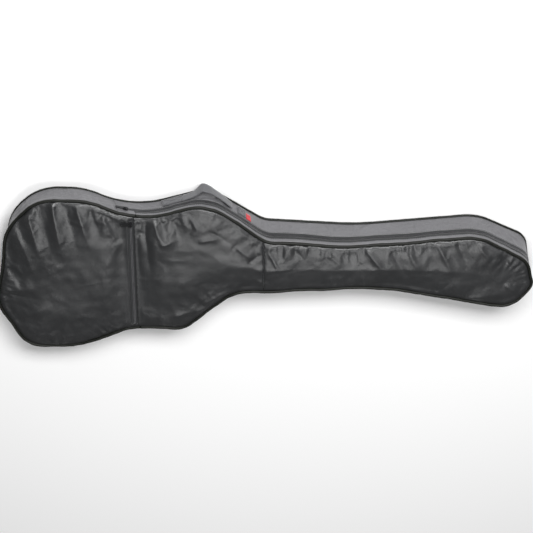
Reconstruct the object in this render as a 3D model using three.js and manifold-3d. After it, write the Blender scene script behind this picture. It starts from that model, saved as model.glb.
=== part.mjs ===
// A padded gig bag for an electric bass guitar, lying on its back.
// Millimetres. +X runs from the butt to the head, +Y towards the carrying handle, +Z up
// through the front panel. The origin is the middle of the bag on the ground.
import * as THREE from 'three';
import Module from 'manifold-3d';
import { mergeVertices } from 'three/addons/utils/BufferGeometryUtils.js';

const wasm = await Module();
wasm.setup();

// ---- driving dimensions -------------------------------------------------------------

const HALF_LENGTH = 622;          // both outlines lie within this of the middle
const PIPING_RADIUS = 3.6;
const PIPING_SIDES = 8;
const LONGEST_STEP = 60;          // between the wall's stations
const ARC_BULGE = 1.2;            // how far a rounded corner may bulge past its straight steps
const WAIST_BULGE = 0.2;          // the same where the main zip's slider runs round the waist
const FINE_BULGE = 0.35;          // the same round the head, where the wall leans most
const GAP = 0.3;                  // between pieces that touch on the real bag

const FRONT_HEIGHT = 70;          // the front piping's centre line above the ground, mid bag
const FRONT_RISE = 0.0165;        // how much higher it is per millimetre towards the head
const WAIST = [-290, 150];        // the waist's corner on the handle side
const WAIST_TO_CREST = [162, 47]; // from there to the upper bout's corner
const WAIST_LEAN = [-14, -4];     // how far the rear waist is moved over
const REAR_CREST_REACH = 1.1;     // the rear crest lies this much further along

// The outline that the front piping follows: [x, y, radius] of each rounded corner, from the
// butt along the handle side to the head, and back along the far side. A fourth number is a
// finer bulge than the usual one.
const FRONT_CORNERS = [
  [-583, 137, 120],
  [-503, 206, 110],
  [-394, 203, 150],
  [WAIST[0], WAIST[1], 200, WAIST_BULGE],
  [WAIST[0] + WAIST_TO_CREST[0], WAIST[1] + WAIST_TO_CREST[1], 90],
  [4, 94, 60],
  [200, 80, 600],
  [488, 112, 110, FINE_BULGE],
  [606, 40, 48, FINE_BULGE],
  [621, -24, 36, FINE_BULGE],
  [577, -86, 50],
  [528, -80, 150],
  [270, -30, 600],
  [-75, -49, 80],
  [-192, -157, 50],
  [-290, -142, 200],
  [-448, -206, 150],
  [-554, -208, 65],
  [-622, -86, 90],
];

// The outline that the rear piping follows, corner for corner. The neck is wider at the back.
const REAR_CORNERS = [
  [-578, 137, 120],
  [-508, 203, 110],
  [-394 + WAIST_LEAN[0], 203 + WAIST_LEAN[1], 150],
  [WAIST[0] + WAIST_LEAN[0], WAIST[1] + WAIST_LEAN[1], 200],
  [
    WAIST[0] + WAIST_LEAN[0] + REAR_CREST_REACH * WAIST_TO_CREST[0],
    WAIST[1] + WAIST_LEAN[1] + REAR_CREST_REACH * WAIST_TO_CREST[1],
    90,
  ],
  [-2, 112, 60],
  [210, 97, 600],
  [488, 122, 110],
  [605, 64, 46],
  [621, -26, 36],
  [578, -99, 50],
  [528, -94, 150],
  [270, -48, 600],
  [-75, -66, 80],
  [-190, -168, 50],
  [-296, -149, 200],
  [-448, -202, 150],
  [-550, -204, 65],
  [-617, -86, 90],
];

const FOLD_X = -290;              // the front panel folds open along this line
const NECK_SEAM_X = -2;           // the front panel's body and neck pieces meet here
const ZIP_START_X = -330;         // where the main zip starts and ends

// Layers of each panel and wall, inwards from the outer face.
const SKIN = 1.2;                 // nylon cloth with its coating
const FOAM = 5;
const LINING = 1;
const POCKET_DEPTH = 14;          // between the pocket's outer panel and the panel behind it
const PANEL_INSET = PIPING_RADIUS + GAP;
const LINING_INSET = 8;
const BACK_LAYERS_INSET = 11;     // clear of the wall's own padding, which leans in

// The main zip's rows, measured down the wall from the front piping's centre line.
const STRIP_TO = 13;
const TAPE_WIDTH = 5.4;
const COIL_WIDTH = 2.5;
const COIL_THICKNESS = 3;
const TAPE_THICKNESS = 1;
const FRONT_TAPE_FROM = STRIP_TO + GAP;
const FRONT_COIL_FROM = FRONT_TAPE_FROM + TAPE_WIDTH + GAP;
const REAR_COIL_FROM = FRONT_COIL_FROM + COIL_WIDTH + 2 * GAP;
const REAR_TAPE_FROM = REAR_COIL_FROM + COIL_WIDTH + GAP;
const REAR_WALL_FROM = REAR_TAPE_FROM + TAPE_WIDTH + GAP;
const ZIP_CENTRE_DOWN = REAR_COIL_FROM - GAP;

const POCKET_ZIP_X = -303;        // the pocket's zip crosses the front here
const POCKET_ZIP_HALF_SPAN = 146;
const POCKET_ZIP_MID_Y = 9;
const POCKET_SLIDER_Y = 145;
const MAIN_SLIDER_X = -310;
const SLIDER_CLEARANCE = 0.5;     // from its coil

const BACK_SKIN_Z = 4.6;          // underside of the back panel
const WEBBING = 1.5;
const HANDLE_WIDTH = 25;
const HANDLE_DOWN = 31.5;         // from the front piping down to the handle's front edge
const BUTT_ANCHOR_X = [-222, -180]; // where each end of the handle is sewn to the wall
const NECK_ANCHOR_X = [-62, -44];
const LABEL_X = [-40, -29];
const LABEL_DOWN = [34, 48];
const LABEL_THICKNESS = 0.8;

const STRAP_WIDTH = 30;
const STRAP_LENGTH = 390;
const STRAP_MIDDLE = [-322, 77];
const STRAP_SPLAY = 0.146;        // radians
const STRAP_Z = 1.5;
const STRAP_PATCH_LENGTH = 44;

// ---- materials ----------------------------------------------------------------------

const cloth = (color, roughness) => new THREE.MeshStandardMaterial({ color, roughness, metalness: 0 });
const panelCloth = () => cloth('#3f4143', 0.62);
const wallCloth = () => cloth('#57575b', 0.6);
const pipingVinyl = () => cloth('#24251f', 0.45);
const foam = () => cloth('#8d8f90', 0.95);
const liningCloth = () => cloth('#29292b', 0.8);
const webbing = () => cloth('#303134', 0.75);
const zipTape = () => cloth('#1f2022', 0.8);
const zipCoil = () => cloth('#17181a', 0.4);
const redCloth = () => cloth('#b0222b', 0.7);
const moulded = () => cloth('#141415', 0.35);
const enamel = () => new THREE.MeshStandardMaterial({ color: '#111112', roughness: 0.3, metalness: 0.6 });

// ---- the outline and the wall between its two pipings ---------------------------------

// The directions in which an outline arrives at a corner and leaves it, and its turn there.
function cornerTurn(corners, i) {
  const point = (k) => new THREE.Vector2(...corners[(k + corners.length) % corners.length].slice(0, 2));
  const here = point(i);
  const arriving = here.clone().sub(point(i - 1)).normalize();
  const leaving = point(i + 1).sub(here).normalize();
  return { here, arriving, turn: Math.atan2(arriving.cross(leaving), arriving.dot(leaving)) };
}

// Both outlines use the same number of straight steps at a corner, so that they can be paired.
const cornerSteps = FRONT_CORNERS.map(([, , radius, bulge = ARC_BULGE], i) => {
  const { turn } = cornerTurn(FRONT_CORNERS, i);
  return Math.max(2, Math.ceil(Math.abs(turn) / (2 * Math.acos(1 - bulge / radius))));
});

// A closed outline with a rounded corner at each given point. Each sample has its point and
// its outward normal.
function roundedOutline(corners, heightAt) {
  return corners.flatMap(([, , radius], i) => {
    const { here, arriving, turn } = cornerTurn(corners, i);
    const side = turn < 0 ? 1 : -1;
    const firstNormal = new THREE.Vector2(-arriving.y, arriving.x);
    const start = here.clone().addScaledVector(arriving, -radius * Math.tan(Math.abs(turn) / 2));
    const centre = start.addScaledVector(firstNormal, -side * radius);
    const steps = cornerSteps[i];
    return Array.from({ length: steps + 1 }, (_, k) => {
      const normal = firstNormal.clone().rotateAround(new THREE.Vector2(), turn * k / steps);
      const point = centre.clone().addScaledVector(normal, side * radius);
      return {
        point: new THREE.Vector3(point.x, point.y, heightAt(point.x)),
        normal: new THREE.Vector3(normal.x, normal.y, 0),
      };
    });
  });
}

const frontHeight = (x) => FRONT_HEIGHT + FRONT_RISE * x;
const frontOutline = roundedOutline(FRONT_CORNERS, frontHeight);
const rearOutline = roundedOutline(REAR_CORNERS, () => PIPING_RADIUS);

function mixSamples(a, b, t) {
  return {
    point: a.point.clone().lerp(b.point, t),
    normal: a.normal.clone().lerp(b.normal, t).normalize(),
  };
}

function mixStations(a, b, t) {
  return { front: mixSamples(a.front, b.front, t), rear: mixSamples(a.rear, b.rear, t) };
}

// A station pairs a point of the front outline with its point of the rear outline. Straight
// runs are cut into short steps, because the wall twists along them.
const stations = frontOutline.flatMap((front, i) => {
  const j = (i + 1) % frontOutline.length;
  const here = { front, rear: rearOutline[i] };
  const next = { front: frontOutline[j], rear: rearOutline[j] };
  const steps = Math.ceil(front.point.distanceTo(next.front.point) / LONGEST_STEP);
  return Array.from({ length: steps }, (_, k) => mixStations(here, next, k / steps));
});

function stationAt(place) {
  const i = Math.floor(place);
  return mixStations(stations[i % stations.length], stations[(i + 1) % stations.length], place - i);
}

// Where the front outline passes x, as a fractional index: on the handle side it runs
// towards the head, and on the far side back towards the butt.
function crossing(x, side) {
  for (let i = 0; i < stations.length; i++) {
    const from = stations[i].front.point.x;
    const to = stations[(i + 1) % stations.length].front.point.x;
    const passes = side === 'handle' ? from < x && to >= x : from > x && to <= x;
    if (passes) return i + (x - from) / (to - from);
  }
  throw new Error(`the outline does not pass x = ${x}`);
}

// The stations from one crossing on to another, going round with the outline.
function run(from, to) {
  const start = crossing(...from);
  let end = crossing(...to);
  if (end < start) end += stations.length;
  const places = [start];
  for (let i = Math.floor(start) + 1; i < end; i++) places.push(i);
  places.push(end);
  return places.map(stationAt);
}

// A point of the wall: so far down from the front piping towards the rear one, so far out.
function wallPoint({ front, rear }, down, out) {
  const way = rear.point.clone().sub(front.point).normalize();
  const normal = front.normal.clone().add(rear.normal).normalize();
  return front.point.clone().addScaledVector(way, down).addScaledVector(normal, out);
}

const wallHeight = ({ front, rear }) => front.point.distanceTo(rear.point);

// A closed solid through a row of rings of points. A closed row joins its last ring to its
// first; an open one gets a cap at each end.
function loft(rings, closed) {
  const sides = rings[0].length;
  const corners = rings.flat();
  const triangles = [];
  const at = (ring, side) => (ring % rings.length) * sides + (side % sides);
  const last = closed ? rings.length : rings.length - 1;
  for (let r = 0; r < last; r++) {
    for (let s = 0; s < sides; s++) {
      const near = s < sides / 2 ? at(r + 1, s) : at(r + 1, s + 1);
      const far = s < sides / 2 ? at(r, s + 1) : at(r, s);
      triangles.push(at(r, s), at(r, s + 1), near);
      triangles.push(far, at(r + 1, s + 1), at(r + 1, s));
    }
  }
  for (let s = 1; !closed && s < sides - 1; s++) {
    triangles.push(at(0, 0), at(0, s + 1), at(0, s));
    triangles.push(at(last, 0), at(last, s), at(last, s + 1));
  }
  const geometry = new THREE.BufferGeometry().setFromPoints(corners);
  geometry.setIndex(triangles);
  return geometry;
}

// A band of the wall between two depths, from one outward offset to another.
function wallBand(row, downFrom, downTo, outFrom, outTo, closed = false) {
  const rings = row.map((station) => {
    const bottom = downTo <= 0 ? wallHeight(station) + downTo : downTo;
    return [
      wallPoint(station, downFrom, outFrom),
      wallPoint(station, bottom, outFrom),
      wallPoint(station, bottom, outTo),
      wallPoint(station, downFrom, outTo),
    ];
  });
  return loft(rings, closed);
}

// A round cord along one edge of a row of stations.
function piping(row, edge, closed = false) {
  const rings = row.map((station) => {
    const { point, normal } = station[edge];
    return Array.from({ length: PIPING_SIDES }, (_, k) => {
      const angle = (k + 0.5) * 2 * Math.PI / PIPING_SIDES;
      const reach = PIPING_RADIUS / Math.cos(Math.PI / PIPING_SIDES);
      const across = reach * Math.cos(angle);
      return point.clone().addScaledVector(normal, across).setZ(point.z + reach * Math.sin(angle));
    });
  });
  return loft(rings, closed);
}

// ---- flat panels ----------------------------------------------------------------------

// The outline drawn in from the piping and kept between two X values.
function panelShape(outline, inset, xFrom, xTo) {
  let points = outline.map(({ point, normal }) => point.clone().addScaledVector(normal, -inset));
  points = keepBeyond(points, (p) => p.x - xFrom);
  points = keepBeyond(points, (p) => xTo - p.x);
  return new THREE.Shape(points.map((p) => new THREE.Vector2(p.x, p.y)));
}

function keepBeyond(points, clearance) {
  return points.flatMap((point, i) => {
    const next = points[(i + 1) % points.length];
    const here = clearance(point);
    const there = clearance(next);
    const kept = here >= 0 ? [point] : [];
    if (here * there < 0) kept.push(point.clone().lerp(next, here / (here - there)));
    return kept;
  });
}

function frontPanel(inset, from, thickness, xFrom, xTo) {
  const shape = panelShape(frontOutline, inset, xFrom, xTo);
  const geometry = new THREE.ExtrudeGeometry(shape, { depth: thickness, bevelEnabled: false });
  geometry.translate(0, 0, FRONT_HEIGHT + from);
  return geometry.applyMatrix4(new THREE.Matrix4().makeShear(0, FRONT_RISE, 0, 0, 0, 0));
}

function backPanel(inset, from, thickness) {
  const shape = panelShape(rearOutline, inset, -HALF_LENGTH, HALF_LENGTH);
  return new THREE.ExtrudeGeometry(shape, { depth: thickness, bevelEnabled: false }).translate(0, 0, from);
}

// ---- joining solids -------------------------------------------------------------------

function solid(geometry) {
  const bare = geometry.clone();
  bare.deleteAttribute('normal');
  bare.deleteAttribute('uv');
  const merged = mergeVertices(bare, 1e-4);
  return new wasm.Manifold(new wasm.Mesh({
    numProp: 3,
    vertProperties: new Float32Array(merged.attributes.position.array),
    triVerts: new Uint32Array(merged.index.array),
  }));
}

function joined(...geometries) {
  const mesh = geometries.map(solid).reduce((a, b) => a.add(b)).getMesh();
  const geometry = new THREE.BufferGeometry();
  geometry.setAttribute('position', new THREE.BufferAttribute(new Float32Array(mesh.vertProperties), 3));
  geometry.setIndex([...mesh.triVerts]);
  return geometry;
}

const box = (x, y, z, width, depth, height) => new THREE.BoxGeometry(width, depth, height).translate(x, y, z);
const toVector2 = ([x, y]) => new THREE.Vector2(x, y);

function cylinder(radius, from, to) {
  const upright = new THREE.CylinderGeometry(radius, radius, to - from, 12).rotateX(Math.PI / 2);
  return upright.translate(0, 0, (from + to) / 2);
}

// ---- the object -----------------------------------------------------------------------

const bag = new THREE.Group();

function piece(parent, name, geometry, material) {
  const mesh = new THREE.Mesh(geometry, material);
  mesh.name = name;
  parent.add(mesh);
  return mesh;
}

function addBack() {
  const foamFrom = BACK_SKIN_Z + SKIN + GAP;
  const liningFrom = foamFrom + FOAM + GAP;
  piece(bag, 'back_panel', backPanel(PANEL_INSET, BACK_SKIN_Z, SKIN), panelCloth());
  piece(bag, 'back_padding', backPanel(BACK_LAYERS_INSET, foamFrom, FOAM), foam());
  piece(bag, 'back_lining', backPanel(BACK_LAYERS_INSET, liningFrom, LINING), liningCloth());
  piece(bag, 'rear_piping', piping(stations, 'rear', true), pipingVinyl());
}

function addWalls() {
  const butt = run([ZIP_START_X - GAP, 'far'], [ZIP_START_X - GAP, 'handle']);
  const main = run([ZIP_START_X, 'handle'], [ZIP_START_X, 'far']);
  const lid = run([FOLD_X + GAP, 'handle'], [FOLD_X + GAP, 'far']);
  const aboveRearPiping = -PANEL_INSET;
  const foamOut = -GAP;
  const liningOut = foamOut - FOAM - GAP;
  piece(bag, 'butt_wall', wallBand(butt, PANEL_INSET, aboveRearPiping, 0, SKIN), wallCloth());
  piece(bag, 'main_wall', wallBand(main, REAR_WALL_FROM, aboveRearPiping, 0, SKIN), wallCloth());
  const padding = wallBand(stations, REAR_WALL_FROM, aboveRearPiping, foamOut - FOAM, foamOut, true);
  piece(bag, 'wall_padding', padding, foam());
  const lining = wallBand(stations, REAR_WALL_FROM, aboveRearPiping, liningOut - LINING, liningOut, true);
  piece(bag, 'wall_lining', lining, liningCloth());
  piece(bag, 'front_wall_strip', wallBand(lid, PANEL_INSET, STRIP_TO, 0, SKIN), wallCloth());
}

function addFront() {
  const top = PIPING_RADIUS - SKIN;
  const behindPocket = top - POCKET_DEPTH - SKIN;
  const left = -HALF_LENGTH;
  const pocketEdge = POCKET_ZIP_X - COIL_WIDTH - TAPE_WIDTH - 2 * GAP;
  const tailEdge = FOLD_X - GAP;
  const padded = PANEL_INSET + SKIN;
  piece(bag, 'pocket_panel', frontPanel(PANEL_INSET, top, SKIN, left, pocketEdge), panelCloth());
  piece(bag, 'pocket_back_panel', frontPanel(padded, behindPocket, SKIN, left, tailEdge), liningCloth());
  const tailFoam = frontPanel(padded, behindPocket - GAP - FOAM, FOAM, left, tailEdge);
  piece(bag, 'tail_padding', tailFoam, foam());
  const tailLining = frontPanel(padded, behindPocket - 2 * GAP - FOAM - LINING, LINING, left, tailEdge);
  piece(bag, 'tail_lining', tailLining, liningCloth());

  const lidEdge = FOLD_X + GAP;
  const end = HALF_LENGTH;
  piece(bag, 'front_body_panel', frontPanel(PANEL_INSET, top, SKIN, lidEdge, NECK_SEAM_X), panelCloth());
  piece(bag, 'front_neck_panel', frontPanel(PANEL_INSET, top, SKIN, NECK_SEAM_X + GAP, end), panelCloth());
  piece(bag, 'front_padding', frontPanel(padded, top - GAP - FOAM, FOAM, lidEdge, end), foam());
  const lining = frontPanel(LINING_INSET, top - 2 * GAP - FOAM - LINING, LINING, lidEdge, end);
  piece(bag, 'front_lining', lining, liningCloth());

  const butt = run([FOLD_X - GAP, 'far'], [FOLD_X - GAP, 'handle']);
  const lid = run([lidEdge, 'handle'], [lidEdge, 'far']);
  piece(bag, 'butt_front_piping', piping(butt, 'front'), pipingVinyl());
  piece(bag, 'front_piping', piping(lid, 'front'), pipingVinyl());
}

// A slider's body lies on its zip, with +X away from the resting pull and +Z away from the bag.
const SLIDER_BODY = 2.2;
const PULL_THICKNESS = 1;
const PULL_HALF_WIDTH = 3.6;
const PULL_LENGTH = 24;

function sliderBody(alongZip) {
  const shape = new THREE.Shape();
  shape.moveTo(-6.5, -3);
  shape.lineTo(1.5, -5);
  shape.quadraticCurveTo(6.5, -5, 6.5, 0);
  shape.quadraticCurveTo(6.5, 5, 1.5, 5);
  shape.lineTo(-6.5, 3);
  const options = { depth: SLIDER_BODY, bevelEnabled: false, curveSegments: 5 };
  return new THREE.ExtrudeGeometry(shape, options).rotateZ(alongZip);
}

// The pull's flat grip with a hole near its end, and an opening of the given path at its root.
function pullGeometry(rootX, opening) {
  const gripX = PULL_HALF_WIDTH - PULL_LENGTH;
  const shape = new THREE.Shape();
  shape.moveTo(rootX, -PULL_HALF_WIDTH);
  shape.lineTo(rootX, PULL_HALF_WIDTH);
  shape.lineTo(gripX, PULL_HALF_WIDTH);
  shape.absarc(gripX, 0, PULL_HALF_WIDTH, Math.PI / 2, Math.PI * 1.5, false);
  shape.closePath();
  const hole = new THREE.Path();
  hole.absarc(gripX, 0, 1.4, 0, Math.PI * 2, true);
  shape.holes.push(opening, hole);
  const options = { depth: PULL_THICKNESS, bevelEnabled: false, curveSegments: 5 };
  return new THREE.ExtrudeGeometry(shape, options).translate(0, 0, -PULL_THICKNESS / 2);
}

// The main slider has a bridge along the zip, and its pull swings over on a bar under it.
function addHingedSlider(name, holder) {
  const barZ = SLIDER_BODY + 0.9;
  const posts = [-3.6, 3.6].map((x) => box(x, 0, SLIDER_BODY + 1, 1, 2.2, 3));
  const bridge = box(0, 0, SLIDER_BODY + 2.6, 8.2, 2.2, 1);
  piece(holder, `${name}_slider`, joined(sliderBody(0), ...posts, bridge), enamel());
  const opening = new THREE.Path([[-0.5, -2.2], [-5.4, -2.2], [-5.4, 2.2], [-0.5, 2.2]].map(toVector2));
  const pull = piece(holder, `${name}_pull`, pullGeometry(0.6, opening), enamel());
  pull.position.z = barZ;
  bag.add(holder);
}

// The pocket's slider has a capped post, and its pull lies flat and turns round it.
function addPivotedSlider(name, holder) {
  const pullZ = SLIDER_BODY + 0.4 + PULL_THICKNESS / 2;
  const post = cylinder(1.2, SLIDER_BODY - 0.5, SLIDER_BODY + 2);
  const cap = cylinder(2.6, SLIDER_BODY + 1.8, SLIDER_BODY + 2.8);
  piece(holder, `${name}_slider`, joined(sliderBody(Math.PI / 2), post, cap), enamel());
  const opening = new THREE.Path();
  opening.absarc(0, 0, 1.7, 0, Math.PI * 2, true);
  const pull = piece(holder, `${name}_pull`, pullGeometry(PULL_HALF_WIDTH, opening), enamel());
  pull.position.z = pullZ;
  bag.add(holder);
}

function addMainZip() {
  const rearRow = run([ZIP_START_X, 'handle'], [ZIP_START_X, 'far']);
  const frontRow = run([FOLD_X + GAP, 'handle'], [FOLD_X + GAP, 'far']);
  const coilOut = (TAPE_THICKNESS - COIL_THICKNESS) / 2;
  const row = (name, stretch, from, width, out, thickness, material) => {
    piece(bag, name, wallBand(stretch, from, from + width, out, out + thickness), material);
  };
  row('zip_front_tape', frontRow, FRONT_TAPE_FROM, TAPE_WIDTH, 0, TAPE_THICKNESS, zipTape());
  row('zip_front_coil', frontRow, FRONT_COIL_FROM, COIL_WIDTH, coilOut, COIL_THICKNESS, zipCoil());
  row('zip_rear_coil', rearRow, REAR_COIL_FROM, COIL_WIDTH, coilOut, COIL_THICKNESS, zipCoil());
  row('zip_rear_tape', rearRow, REAR_TAPE_FROM, TAPE_WIDTH, 0, TAPE_THICKNESS, zipTape());

  const ends = {
    handle_side: run([ZIP_START_X, 'handle'], [FOLD_X - GAP, 'handle']),
    far_side: run([FOLD_X - GAP, 'far'], [ZIP_START_X, 'far']),
  };
  for (const [side, stretch] of Object.entries(ends)) {
    const tab = wallBand(stretch, PANEL_INSET, REAR_COIL_FROM - GAP, 0, SKIN);
    piece(bag, `zip_end_tab_${side}`, tab, zipTape());
  }

  const station = stationAt(crossing(MAIN_SLIDER_X, 'handle'));
  const outward = station.front.normal.clone().add(station.rear.normal).normalize();
  const holder = new THREE.Group();
  const clearOfCoil = (COIL_THICKNESS + TAPE_THICKNESS) / 2 + SLIDER_CLEARANCE;
  holder.position.copy(wallPoint(station, ZIP_CENTRE_DOWN, clearOfCoil));
  const along = new THREE.Vector3(outward.y, -outward.x, 0);
  holder.setRotationFromMatrix(new THREE.Matrix4().makeBasis(along, outward.clone().cross(along), outward));
  addHingedSlider('main_zip', holder);
}

function addPocketZip() {
  const top = PIPING_RADIUS - SKIN;
  const span = 2 * POCKET_ZIP_HALF_SPAN;
  const middle = frontHeight(POCKET_ZIP_X) + top;
  const coilX = GAP / 2 + COIL_WIDTH / 2;
  const tapeX = GAP / 2 + COIL_WIDTH + GAP + TAPE_WIDTH / 2;
  const rightTape = FOLD_X - GAP - (POCKET_ZIP_X + COIL_WIDTH + 1.5 * GAP);
  const y = POCKET_ZIP_MID_Y;
  const lift = TAPE_THICKNESS / 2;
  const left = box(POCKET_ZIP_X - tapeX, y, middle + lift, TAPE_WIDTH, span, TAPE_THICKNESS);
  piece(bag, 'pocket_zip_left_tape', left, zipTape());
  const rightX = FOLD_X - GAP - rightTape / 2;
  const right = box(rightX, y, middle + lift, rightTape, span, TAPE_THICKNESS);
  piece(bag, 'pocket_zip_right_tape', right, zipTape());
  for (const [side, sign] of [['left', -1], ['right', 1]]) {
    const x = POCKET_ZIP_X + sign * coilX;
    const coil = box(x, y, middle + lift, COIL_WIDTH, span, COIL_THICKNESS);
    piece(bag, `pocket_zip_${side}_coil`, coil, zipCoil());
  }
  for (const [end, sign] of [['handle_side', 1], ['far_side', -1]]) {
    const stopY = y + sign * (POCKET_ZIP_HALF_SPAN + GAP + 2);
    piece(bag, `pocket_zip_stop_${end}`, box(POCKET_ZIP_X, stopY, middle + lift, 9, 4, 2), moulded());
  }
  const holder = new THREE.Group();
  holder.position.set(POCKET_ZIP_X, POCKET_SLIDER_Y, middle + lift + COIL_THICKNESS / 2 + SLIDER_CLEARANCE);
  addPivotedSlider('pocket_zip', holder);
}

// The handle: one strap, box-stitched flat on the wall at both ends, standing off between.
// Its middle is creased and keeps its shape; the legs on either side of it bend.
function addHandle() {
  const out = SKIN + GAP;
  const patchDepth = HANDLE_DOWN + HANDLE_WIDTH;
  const anchor = ([from, to]) => {
    const stretch = run([from, 'handle'], [to, 'handle']);
    return wallBand(stretch, HANDLE_DOWN, patchDepth, out, out + WEBBING);
  };
  piece(bag, 'handle_butt_anchor', anchor(BUTT_ANCHOR_X), webbing());
  piece(bag, 'handle_neck_anchor', anchor(NECK_ANCHOR_X), webbing());

  // Each stretch of the strap: its inner face's points from the butt end, then its outer face's.
  const stretches = {
    handle_butt_leg: [[-187, 184], [-155.3, 198.6], [-155.9, 200], [-187.6, 185.4]],
    handle_strap: [
      [-155, 198.8], [-147, 202.4], [-143, 203.8], [-139, 204], [-135, 203], [-131, 201], [-122, 195.2],
      [-121.2, 196.6], [-130, 202.4], [-135, 204.9], [-139, 205.8], [-144, 205.3], [-148, 203.9],
      [-155.6, 200.3],
    ],
    handle_neck_leg: [[-121.7, 195], [-74, 164], [-73, 165.2], [-120.9, 196.4]],
  };
  const frontEdge = frontHeight(-130) - HANDLE_DOWN;
  for (const [name, corners] of Object.entries(stretches)) {
    const shape = new THREE.Shape(corners.map(toVector2));
    const stretch = new THREE.ExtrudeGeometry(shape, { depth: HANDLE_WIDTH, bevelEnabled: false });
    piece(bag, name, stretch.translate(0, 0, frontEdge - HANDLE_WIDTH), webbing());
  }

  const label = run([LABEL_X[0], 'handle'], [LABEL_X[1], 'handle']);
  piece(bag, 'side_label', wallBand(label, ...LABEL_DOWN, out, out + LABEL_THICKNESS), redCloth());
}

// Two carrying straps on the back, each sewn down at both ends, with a sliding adjuster.
function addStraps() {
  for (const [side, sign] of [['handle_side', 1], ['far_side', -1]]) {
    const holder = new THREE.Group();
    holder.position.set(STRAP_MIDDLE[0], sign * STRAP_MIDDLE[1], 0);
    holder.rotation.z = -sign * STRAP_SPLAY;
    const strap = box(0, 0, STRAP_Z + WEBBING / 2, STRAP_LENGTH, STRAP_WIDTH, WEBBING);
    piece(holder, `strap_webbing_${side}`, strap, webbing());
    const patchZ = (STRAP_Z + WEBBING + BACK_SKIN_Z) / 2;
    const patchThickness = BACK_SKIN_Z - STRAP_Z - WEBBING - 2 * GAP;
    for (const [end, direction] of [['neck', 1], ['butt', -1]]) {
      const x = direction * (STRAP_LENGTH - STRAP_PATCH_LENGTH) / 2;
      const patch = box(x, 0, patchZ, STRAP_PATCH_LENGTH, STRAP_WIDTH + 8, patchThickness);
      piece(holder, `strap_${end}_patch_${side}`, patch, panelCloth());
    }
    piece(holder, `strap_adjuster_${side}`, adjusterGeometry(), moulded());
    bag.add(holder);
  }
}

// A three-bar slide: the strap runs over its middle bar and under its end bars.
function adjusterGeometry() {
  const height = BACK_SKIN_Z - GAP;
  const sideBar = 4;
  const sideY = STRAP_WIDTH / 2 + GAP + sideBar / 2;
  const width = 2 * sideY + sideBar;
  const barUp = STRAP_Z + WEBBING + GAP;
  const sides = [-1, 1].map((sign) => box(0, sign * sideY, height / 2, 28, sideBar, height));
  const ends = [-1, 1].map((sign) => box(sign * 11.5, 0, (barUp + height) / 2, 5, width - 1, height - barUp));
  const middle = box(0, 0, (STRAP_Z - GAP) / 2, 5, width - 1, STRAP_Z - GAP);
  return joined(...sides, ...ends, middle);
}

addBack();
addWalls();
addFront();
addMainZip();
addPocketZip();
addHandle();
addStraps();

export default bag;
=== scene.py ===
# A padded gig bag for an electric bass guitar: the looks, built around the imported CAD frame.
# Metres. +X runs from the butt to the head, +Y towards the carrying handle, and +Z up through
# the front panel. The bag lies on its back.
import math
from types import SimpleNamespace

import bpy
import numpy as np
from mathutils import Matrix, Vector
from mathutils.geometry import delaunay_2d_cdt


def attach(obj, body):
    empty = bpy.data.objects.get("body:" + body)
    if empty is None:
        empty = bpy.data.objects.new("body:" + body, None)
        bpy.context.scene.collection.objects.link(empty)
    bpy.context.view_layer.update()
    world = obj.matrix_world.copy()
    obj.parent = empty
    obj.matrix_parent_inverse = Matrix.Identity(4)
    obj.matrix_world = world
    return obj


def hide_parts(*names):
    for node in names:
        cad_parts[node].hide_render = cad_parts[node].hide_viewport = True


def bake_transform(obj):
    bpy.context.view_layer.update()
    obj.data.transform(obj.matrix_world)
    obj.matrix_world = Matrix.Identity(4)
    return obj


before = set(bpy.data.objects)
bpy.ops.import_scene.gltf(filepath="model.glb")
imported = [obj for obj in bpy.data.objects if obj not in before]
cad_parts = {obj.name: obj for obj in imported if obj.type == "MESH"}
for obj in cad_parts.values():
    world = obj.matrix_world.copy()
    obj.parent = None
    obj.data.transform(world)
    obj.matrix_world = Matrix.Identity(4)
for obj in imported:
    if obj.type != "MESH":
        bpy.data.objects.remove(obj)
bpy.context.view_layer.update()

# ---- the camera -------------------------------------------------------------------------

CAMERA_TILT = 35.47               # degrees from straight above, leaning to the handle side
CAMERA_TURN = -1.98
CAMERA_ROLL = 1.95
CAMERA_DISTANCE = 4.00
CAMERA_TARGET = (0, 0, 0.040)
FOCAL_SHARE = 3.2335              # the focal length over the sensor's width
CAMERA_SHIFT = (0.0045, 0.0035)
SENSOR_WIDTH = 36                 # in the camera's own unit, as is its focal length


def add_camera():
    tilt, turn, roll = (math.radians(a) for a in (CAMERA_TILT, CAMERA_TURN, CAMERA_ROLL))
    level = Vector((math.cos(turn), -math.sin(turn), 0))
    rise = Vector((math.cos(tilt) * math.sin(turn), math.cos(tilt) * math.cos(turn), -math.sin(tilt)))
    right = level * math.cos(roll) - rise * math.sin(roll)
    up = level * math.sin(roll) + rise * math.cos(roll)
    back = right.cross(up)
    data = bpy.data.cameras.new("camera")
    data.sensor_width = SENSOR_WIDTH
    data.lens = SENSOR_WIDTH * FOCAL_SHARE
    data.shift_x, data.shift_y = CAMERA_SHIFT
    data.clip_end = 20
    camera = bpy.data.objects.new("camera", data)
    bpy.context.scene.collection.objects.link(camera)
    turned = Matrix((right, up, back)).transposed().to_4x4()
    camera.matrix_world = Matrix.Translation(Vector(CAMERA_TARGET) + back * CAMERA_DISTANCE) @ turned
    bpy.context.scene.camera = camera


add_camera()

# ---- the outline, as in the CAD ---------------------------------------------------------

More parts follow.
